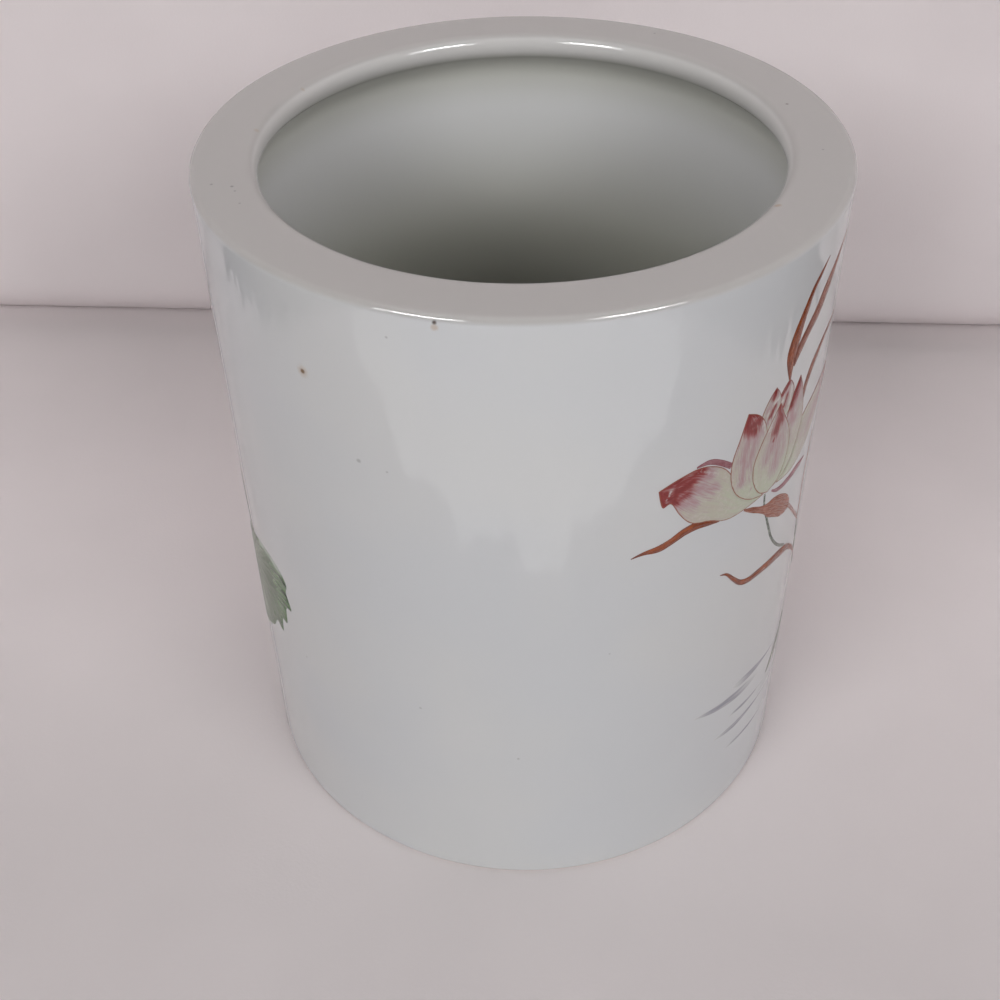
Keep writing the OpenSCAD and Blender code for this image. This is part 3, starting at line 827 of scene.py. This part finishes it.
RIM_SPOTS = [
    (-71, 79.5, 0.7, 0.6, GREY), (-73, 84.4, 0.6, 0.5, GREY), (-64, 79.8, 0.5, 0.4, GREY),
    (-69, 79.2, 0.5, 0.5, GREY), (105, 78, 0.7, 0.5, IRON), (84, 81, 0.5, 0.5, GREY),
    (-119, 73, 1.4, 0.5, TAN), (-96, 74, 1.2, 0.3, TAN), (59, 74.8, 1.3, 0.45, TAN),
    (105, 72, 0.9, 0.9, IRON), (150, 84, 0.6, 0.5, GREY),
]


def spot_centres():
    """Each glaze spot as (point in metres, radius in metres, strength, colour)."""
    for arc, height, size, strength, colour in WALL_SPOTS:
        yield on_wall(arc, height, 0), size * MM, strength, colour
    for degrees, reach, size, strength, colour in RIM_SPOTS:
        a = math.radians(degrees)
        yield (reach * MM * math.sin(a), -reach * MM * math.cos(a), TOP_Z), size * MM, strength, colour


def glaze_colour(p, place):
    """Slightly uneven cool white with its iron spots, and painted light and shade: the flat rim top darker
    and warmer, a brighter lip, a darker band under the lip, and the inside lighter near the top and darker
    and greener towards the bottom.
    """
    broad = p.noise(place, 16.0, 2.0)
    colour = p.mix(p.ease(broad, 0.35, 0.65), GLAZE, GLAZE_COOL)
    height = p.parts(place)["Z"]
    reach = p.node("VectorMath", {"operation": "LENGTH"})
    p.put(reach, 0, p.stretched(place, (1.0, 1.0, 0.0)))
    # Painted shade on the flat rim top, darker and warmer than the wall
    rim_top_shade = p.ease(p.add(height, p.times(broad, 1 * MM)), TOP_Z - 1.5 * MM, TOP_Z, 0.0, 0.9)
    colour = p.mix(rim_top_shade, colour, RIM_TOP_SHADE)
    within = p.ease(reach.outputs["Value"], BORE_R + 1 * MM, BORE_R + 3 * MM, 1.0, 0.0)
    within = p.times(within, p.ease(height, TOP_Z - 1.5 * MM, TOP_Z - 0.5 * MM, 1.0, 0.0))
    within = p.times(within, p.ease(height, FLOOR_Z - 2 * MM, FLOOR_Z - 1 * MM))
    # Painted light and shade inside: lighter near the top, darker towards the bottom
    inside_light_and_shade = p.mix(p.ease(height, 0.62 * TOP_Z, 0.92 * TOP_Z), INSIDE_DEEP_SHADE, INSIDE_TOP_LIT)
    # Painted shade under the lip
    inside_light_and_shade = p.mix(p.ease(height, TOP_Z - 28 * MM, TOP_Z - 11 * MM), inside_light_and_shade, UNDER_LIP_SHADE)
    # Painted highlight on the lip
    inside_light_and_shade = p.mix(p.ease(height, TOP_Z - 8 * MM, TOP_Z - 5 * MM), inside_light_and_shade, LIP_HIGHLIGHT)
    colour = p.mix(within, colour, inside_light_and_shade)
    for centre, size, strength, tint in spot_centres():
        gap = p.node("VectorMath", {"operation": "DISTANCE"})
        p.put(gap, 0, place)
        p.put(gap, 1, tuple(float(c) for c in centre))
        wobble = p.times(p.noise(place, 900.0, 1.0), 0.5 * size)
        near = p.ease(p.add(gap.outputs["Value"], wobble), 0.5 * size, 1.25 * size, strength, 0.0)
        colour = p.mix(near, colour, tint)
    return colour


def glaze_normal(p, place):
    """Soft waves of the wall, small ripples and a faint orange peel."""
    waves = p.bump(p.noise(place, 26.0, 0.0), 0.18)
    ripples = p.bump(p.noise(place, 60.0, 0.0), 0.04, waves)
    return p.bump(p.noise(place, 420.0, 1.0), 0.0008, ripples)


def glaze_material():
    p = Paint("porcelain_glaze")
    place = p.place()
    rough = p.ease(p.noise(place, 55.0, 3.0), 0.3, 0.8, 0.005, 0.02)
    return p.finish(glaze_colour(p, place), glaze_normal(p, place), rough)


def foot_material():
    """Glaze down to the bottom edge, then an iron-flashed line and bare clay."""
    p = Paint("bare_foot")
    place = p.place()
    height = p.parts(place)["Z"]
    ragged = p.times(p.noise(place, 90.0, 2.0), 0.8 * MM)
    level = p.add(height, ragged)
    bare = p.ease(level, 0.7 * MM, 0.95 * MM, 1.0, 0.0)
    flash = p.ease(level, 0.45 * MM, 0.9 * MM)
    grain = p.noise(place, 1500.0, 3.0, 0.7)
    clay = p.mix(p.ease(grain, 0.35, 0.7), (0.60, 0.53, 0.44), (0.70, 0.65, 0.57))
    clay = p.mix(p.times(flash, 0.55), clay, (0.50, 0.25, 0.11))
    colour = p.mix(bare, glaze_colour(p, place), clay)
    normal = p.bump(p.times(grain, bare), 0.05, glaze_normal(p, place))
    return p.finish(colour, normal, p.ease(bare, 0.2, 0.8, 0.08, 0.75))


CREAM = (0.47, 0.435, 0.365)
LEMON = (0.465, 0.49, 0.38)
PALE = (0.58, 0.55, 0.53)
MAUVE = (0.39, 0.23, 0.25)
LILAC = (0.43, 0.345, 0.355)
CRIMSON = (0.24, 0.022, 0.022)
MAROON = (0.15, 0.014, 0.012)
RUST_LINE = (0.25, 0.075, 0.045)


def outline_share(p, edge, flow, width):
    """1 on a film's painted outline, whose width in mm wavers a little."""
    waver = p.times(p.noise(p.stretched(flow, (0.6, 0.6, 1.0)), 0.8, 2.0), width * 0.9)
    return p.ease(p.add(edge, waver), width * 0.75, width * 1.45, 1.0, 0.0)


def petal_material(name, line=RUST_LINE, blush=0.0):
    """Cream petal, lemon at its base, with streaky mauve and crimson dabs."""
    p = Paint(name)
    along, edge, flow = p.marks("along", "edge", "flow")
    red, rose, pale = p.marks("red", "rose", "pale")
    fine = p.streaks(flow, 2.4, 0.2, 3.0, 0.6)
    broad = p.streaks(flow, 0.6, 0.12)
    blot = p.streaks(flow, 0.9, 0.7, 3.0, 0.65)
    body = p.mix(p.ease(p.add(along, p.swing(broad, 0.9)), 0.12, 0.6), LEMON, CREAM)
    body = p.mix(p.times(p.ease(blot, 0.45, 0.7), 0.45), body, PALE)
    veil = p.add(p.math("MAXIMUM", rose, blush), p.swing(fine, 1.5))
    colour = p.mix(p.times(p.ease(veil, 0.0, 0.6), 0.66), body, LILAC)
    colour = p.mix(p.times(p.ease(veil, 0.3, 0.95), 0.9), colour, MAUVE)
    deep = p.add(red, p.swing(fine, 1.1))
    colour = p.mix(p.ease(deep, 0.12, 0.85), colour, CRIMSON)
    colour = p.mix(p.times(p.ease(p.add(deep, p.times(blot, 0.6)), 1.0, 1.4), 0.6), colour, MAROON)
    light = p.ease(p.add(pale, p.swing(blot, 1.2)), 0.35, 0.85)
    colour = p.mix(p.times(light, 0.85), colour, PALE)
    colour = p.mix(p.times(outline_share(p, edge, flow, 0.42), 0.9), colour, line)
    normal = p.bump(p.add(p.times(fine, 0.5), p.times(veil, 0.4)), 0.03)
    return p.finish(colour, normal, p.ease(fine, 0.3, 0.7, 0.14, 0.26))


def stroke_material(name, light, dark, line=0.3, roughness=0.26, pooled_share=0.75):
    """A brush stroke: streaks along it, pooled colour at its edges and ends."""
    p = Paint(name)
    along, edge, flow = p.marks("along", "edge", "flow")
    fine = p.streaks(flow, 2.6, 0.2, 3.0, 0.62)
    blot = p.streaks(flow, 0.8, 0.3, 2.0, 0.6)
    colour = p.mix(p.ease(p.add(p.times(fine, 0.6), p.times(blot, 0.4)), 0.36, 0.64), light, dark)
    pooled = outline_share(p, edge, flow, line)
    ends = p.ease(p.math("ABSOLUTE", p.add(along, -0.5)), 0.36, 0.5, 0.0, 0.8)
    colour = p.mix(p.times(p.math("MAXIMUM", pooled, ends), pooled_share), colour, dark)
    return p.finish(colour, p.bump(fine, 0.03), p.ease(fine, 0.3, 0.7, roughness - 0.08, roughness + 0.08))


def leaf_material():
    """Green wash over fine dark and light ribs that run to the ragged edge."""
    p = Paint("green_enamel")
    along, edge, flow, vein = p.marks("along", "edge", "flow", "vein")
    dark, pale = p.marks("dark", "pale")
    fine = p.streaks(flow, 1.3, 0.09, 3.0, 0.6)
    broad = p.streaks(flow, 0.35, 0.05)
    colour = p.mix(p.ease(fine, 0.34, 0.64), (0.14, 0.215, 0.105), (0.04, 0.085, 0.034))
    colour = p.mix(p.times(p.ease(broad, 0.5, 0.68), 0.6), colour, (0.27, 0.36, 0.23))
    colour = p.mix(p.times(p.ease(along, 0.55, 1.0), 0.3), colour, (0.085, 0.17, 0.08))
    rib = p.ease(p.add(vein, p.times(fine, 0.2)), 0.16, 0.42, 0.6, 0.0)
    colour = p.mix(rib, colour, (0.06, 0.11, 0.05))
    colour = p.mix(p.ease(p.add(dark, p.swing(fine, 0.5)), 0.3, 0.8, 0.0, 0.9), colour,
                   (0.025, 0.045, 0.02))
    colour = p.mix(p.ease(p.add(pale, p.swing(fine, 0.5)), 0.15, 0.8, 0.0, 0.8), colour,
                   (0.56, 0.60, 0.55))
    colour = p.mix(p.times(outline_share(p, edge, flow, 0.2), 0.3), colour, (0.08, 0.13, 0.07))
    ridge = p.bump(p.ease(vein, 0.0, 0.8, 1.0, 0.0), 0.05, p.bump(fine, 0.03))
    return p.finish(colour, ridge, p.ease(fine, 0.3, 0.7, 0.14, 0.26))


def wash_material():
    """Thin grey-blue water strokes that fade into the glaze at edge and ends."""
    p = Paint("grey_wash", 0.12)
    along, edge, flow = p.marks("along", "edge", "flow")
    fine = p.streaks(flow, 1.4, 0.1, 3.0, 0.6)
    strength = p.ease(edge, 0.0, 0.42, 0.0, 1.0)
    strength = p.times(strength, p.ease(along, 0.0, 0.25, 0.15, 1.0))
    strength = p.times(strength, p.ease(along, 0.5, 1.0, 1.0, 0.15))
    strength = p.times(strength, p.ease(fine, 0.25, 0.65, 0.5, 1.0))
    colour = p.mix(strength, GLAZE, (0.27, 0.27, 0.31))
    return p.finish(colour, p.bump(fine, 0.01))


def stem_material():
    """Grey-green dots of enamel along a paler line."""
    p = Paint("stem_enamel", 0.26)
    edge, flow = p.marks("edge", "flow")
    dots = p.streaks(flow, 0.3, 1.3, 0.0)
    colour = p.mix(p.ease(dots, 0.42, 0.52), (0.30, 0.33, 0.28), (0.045, 0.06, 0.045))
    colour = p.mix(p.ease(edge, 0.0, 0.14, 0.5, 0.0), colour, (0.10, 0.13, 0.10))
    return p.finish(colour, p.bump(dots, 0.05))


# ---- Putting the object together ----

RUST = ((0.33, 0.082, 0.024), (0.14, 0.027, 0.009))
PALE_RUST = ((0.31, 0.12, 0.08), (0.19, 0.052, 0.028))
SEPAL = ((0.38, 0.145, 0.092), (0.22, 0.06, 0.028))
ROSE_STEM = ((0.42, 0.26, 0.23), (0.30, 0.15, 0.13))
ROSE_FOLD = ((0.37, 0.20, 0.22), (0.21, 0.05, 0.065))
GRASS = ((0.27, 0.30, 0.24), (0.09, 0.11, 0.075))


def place(piece, node, slot, material):
    piece.data.materials.append(material)
    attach(piece, "root")
    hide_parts(node)


def build_pot():
    glaze, foot = glaze_material(), foot_material()
    for node, piece in pot_pieces().items():
        bare = node == "foot_ring"
        place(piece, node, "bare_foot" if bare else "porcelain_glaze", foot if bare else glaze)


def build_painting():
    groups = {}
    for part in (lotus(), blades(), pond()):
        for key, films in part.items():
            groups.setdefault(key, []).extend(films)
    looks = {
        "petal": ("petal_enamel", petal_material("petal_enamel")),
        "bud": ("petal_enamel", petal_material("bud_enamel", (0.24, 0.06, 0.05), 0.3)),
        "back_petal": ("rose_enamel", petal_material("rose_enamel", (0.24, 0.08, 0.06), 0.12)),
        "rose": ("rose_enamel", stroke_material("rose_fold_enamel", *ROSE_FOLD, 0.24)),
        "rust": ("iron_red_enamel", stroke_material("iron_red_enamel", *RUST)),
        "pale_rust": ("iron_red_enamel", stroke_material("pale_rust_enamel", *PALE_RUST)),
        "sepal": ("iron_red_enamel", stroke_material("sepal_enamel", *SEPAL)),
        "pink_stem": ("iron_red_enamel", stroke_material("pink_stem_enamel", *ROSE_STEM, 0.2)),
        "leaf": ("green_enamel", leaf_material()),
        "grass": ("green_enamel", stroke_material("grass_enamel", *GRASS)),
        "stem": ("stem_enamel", stem_material()),
        "wash": ("grey_wash", wash_material()),
    }
    slots = {s["node"]: s["material_slot"] for s in frame["record"]["subparts"]}
    for key, films in groups.items():
        slot, material = looks[key]
        for piece in films:
            node = piece.name.removeprefix(PREFIX)
            place(piece, node, slots.get(node, slot), material)


# ---- Stage, light and camera ----

def stage_material(name, low, high, scale, front=1.0):
    """Uneven cloth, with painted shade that darkens it towards the camera: front is the share of its tone
    that is left nearest the camera.
    """
    p = Paint(name, 0.9, 1.4)
    place = p.place()
    soft = p.noise(place, scale, 3.0)
    weave = p.noise(place, 900.0, 1.0)
    colour = p.mix(p.ease(soft, 0.3, 0.7), low, high)
    # Painted shade: the cloth darker towards the front
    shade = p.ease(p.parts(place)["Y"], -3.0 * POT_R, 1.6 * POT_R, 1 - front, 0.0)
    colour = p.mix(shade, colour, (0.0, 0.0, 0.0))
    p.finish(colour, p.bump(weave, 0.04, p.bump(soft, 2.0)))
    return p


def glowing_material(name, colour, strength, base):
    p = Paint(name, 0.9)
    p.put(p.shader, "Emission Color", colour)
    p.put(p.shader, "Emission Strength", strength)
    return p.finish(base)


def one_sided(p):
    """Leaves a cloth see-through from behind, so that it never hides the pot."""
    both = p.node("MixShader", Fac=p.node("NewGeometry").outputs["Backfacing"])
    p.put(both, 1, p.shader.outputs[0])
    p.put(both, 2, p.node("BsdfTransparent").outputs[0])
    p.put(p.tree.nodes["Material Output"], "Surface", both.outputs[0])


def strip(name, line, reach):
    """A wide surface through (y, z) points, running along x."""
    verts = [(x, y, z) for y, z in line for x in (-reach, reach)]
    faces = [(2 * i, 2 * i + 1, 2 * i + 3, 2 * i + 2) for i in range(len(line) - 1)]
    return finish_mesh(name, verts, faces, 60)


def torn_sheet(name, left, right, low, high):
    """A sheet just above the floor whose sides and far end waver as if torn by hand."""
    grid, lift = 3 * MM, 2 * MM
    step_size, tear_size = 20 * MM, 8 * MM
    xs, ys = np.arange(left, right, grid), np.arange(low, high, grid)
    across = np.interp(xs, [xs[0], xs[-1]], [0, 1])
    tear = tear_size * (np.sin(60 * xs) + 0.6 * np.sin(147 * xs + 1) + 0.5 * np.sin(29 * xs))
    verts = []
    for y in ys:
        wave = 0.5 * math.sin(210 * y) + 0.3 * math.sin(397 * y + 1) + 0.4 * math.sin(95 * y + 2)
        share = (y - low) / (high - low)
        moved_x = xs + step_size * wave * (2 * across - 1)
        moved_y = y + tear * share
        verts.extend((a, b, lift) for a, b in zip(moved_x, moved_y))
    return finish_mesh(name, verts, grid_faces(len(ys), len(xs)))


def show(surface, material):
    """Adds a surface that isn't part of the object."""
    surface.data.materials.append(material)
    surface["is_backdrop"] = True


def build_stage():
    """A pale floor and, behind the pot, a cloth whose hem curls back onto the floor."""
    reach, back, hem = 30 * POT_R, 2.46 * POT_R, 0.3 * POT_R
    floor_cloth = stage_material("floor_cloth", (0.81, 0.755, 0.758), (0.86, 0.80, 0.803), 7.0, 0.84)
    show(strip("floor", [(-reach, 0), (reach, 0)], reach), floor_cloth.material)
    cloth = stage_material("pale_cloth", (0.76, 0.70, 0.708), (0.81, 0.75, 0.758), 7.0)
    one_sided(cloth)
    curl = [(hem * (1 - math.cos(a)), hem * (1 - math.sin(a)))
            for a in np.radians(np.linspace(88, 0, 23))]
    drop = strip("backdrop", curl + [(0, reach)], reach)
    drop.location.y = back
    drop.rotation_euler.z = math.radians(-3)
    show(drop, cloth.material)
    # A pale room round the floor, seen only by the camera
    turns = np.radians(np.linspace(0, 360, 97))
    ring = [(reach * math.sin(a), reach * math.cos(a), z) for z in (0, reach) for a in turns]
    room = finish_mesh("room", ring, grid_faces(2, len(turns)))
    room.visible_diffuse = room.visible_glossy = room.visible_shadow = False
    show(room, glowing_material("room_wall", (0.52, 0.48, 0.485), 1.0, (0.0, 0.0, 0.0)))
    # Torn dark flags at both sides and a bright card in front, all lying on the floor
    # and seen only as reflections in the glaze
    felt = stage_material("black_felt", (0.02, 0.02, 0.02), (0.03, 0.03, 0.03), 40.0).material
    card = glowing_material("glowing_card", (1.0, 0.98, 0.97), 0.62, (0.8, 0.8, 0.8))
    near = -2.62 * POT_R
    for name, left, right, low, high, look in (
        ("flag_left", -1.36, -4.1 * POT_R, -1.2, 0.15, felt),
        ("flag_right", 3.72 * POT_R, 1.36, -1.2, 0.15, felt),
        ("card", -0.33, 0.29, near - 0.5, near, card),
    ):
        sheet = torn_sheet(name, left, right, low, high)
        sheet.visible_camera = sheet.visible_diffuse = sheet.visible_shadow = False
        show(sheet, look)


def area_light(name, spot, target, size, power):
    """A soft rectangular light that faces a target."""
    data = bpy.data.lights.new(name, "AREA")
    data.shape = "RECTANGLE"
    data.size, data.size_y = size
    data.energy = power
    lamp = bpy.data.objects.new(name, data)
    lamp.location = spot
    lamp.rotation_euler = (Vector(target) - Vector(spot)).to_track_quat("-Z", "Y").to_euler()
    bpy.context.scene.collection.objects.link(lamp)
    return lamp


def around(azimuth, elevation, away):
    """A point seen from the pot in a direction, with azimuth 0 in front of it."""
    a, e = math.radians(azimuth), math.radians(elevation)
    return (away * math.cos(e) * math.sin(a), -away * math.cos(e) * math.cos(a), away * math.sin(e))


def build_light():
    """Two soft boxes high at the front and a fill between them, in an otherwise dim room."""
    world = bpy.data.worlds.new("studio")
    world.use_nodes = True
    sky = world.node_tree.nodes["Background"]
    sky.inputs["Color"].default_value = (1, 0.97, 0.95, 1)
    sky.inputs["Strength"].default_value = 0.06
    bpy.context.scene.world = world
    middle = (0, 0, TOP_Z / 2)
    area_light("key_left", around(-34, 34, 3), middle, (1.4, 0.8), 29)
    area_light("key_right", around(38, 33, 3), middle, (1.5, 0.8), 26)
    fill = area_light("fill", around(5, 24, 3), middle, (1.6, 1.2), 8.5)
    fill.visible_glossy = False
    # Strips that only add the bright lines on the rim's edge and the lip
    for azimuth in (-34, 38):
        glint = area_light("glint", around(azimuth, 36, 3), middle, (0.9, 0.5), 36)
        glint.visible_diffuse = False
    # A pale ceiling, seen only in the glaze of the rounded edges
    ceiling = area_light("ceiling", (0, 0, 3), middle, (3, 3), 30)
    ceiling.visible_diffuse = ceiling.visible_camera = False


def build_camera():
    """Looks down on the pot from the front, hand-held, so a little turned and rolled."""
    eye = Vector((0, -3.805 * POT_R, 4.182 * POT_R))
    pan, tilt, roll = math.radians(-1.32), math.radians(40.67), math.radians(-1.2)
    ahead = Vector((math.sin(pan) * math.cos(tilt), math.cos(pan) * math.cos(tilt), -math.sin(tilt)))
    right = Vector((math.cos(pan), -math.sin(pan), 0))
    up = right.cross(ahead)
    right, up = (
        math.cos(roll) * right + math.sin(roll) * up,
        math.cos(roll) * up - math.sin(roll) * right,
    )
    data = bpy.data.cameras.new("camera")
    data.sensor_width = 36
    data.lens = 48.36
    data.clip_start = 0.02
    camera = bpy.data.objects.new("camera", data)
    turned = Matrix((right, up, -ahead)).transposed().to_4x4()
    camera.matrix_world = Matrix.Translation(eye) @ turned
    bpy.context.scene.collection.objects.link(camera)
    bpy.context.scene.camera = camera


bpy.context.scene.view_settings.view_transform = "Standard"
build_camera()
build_pot()
build_painting()
build_stage()
build_light()

boxes = {"cad": cad_box, "visual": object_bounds()}
{key: [list(corner) for corner in pair] for key, pair in boxes.items()}
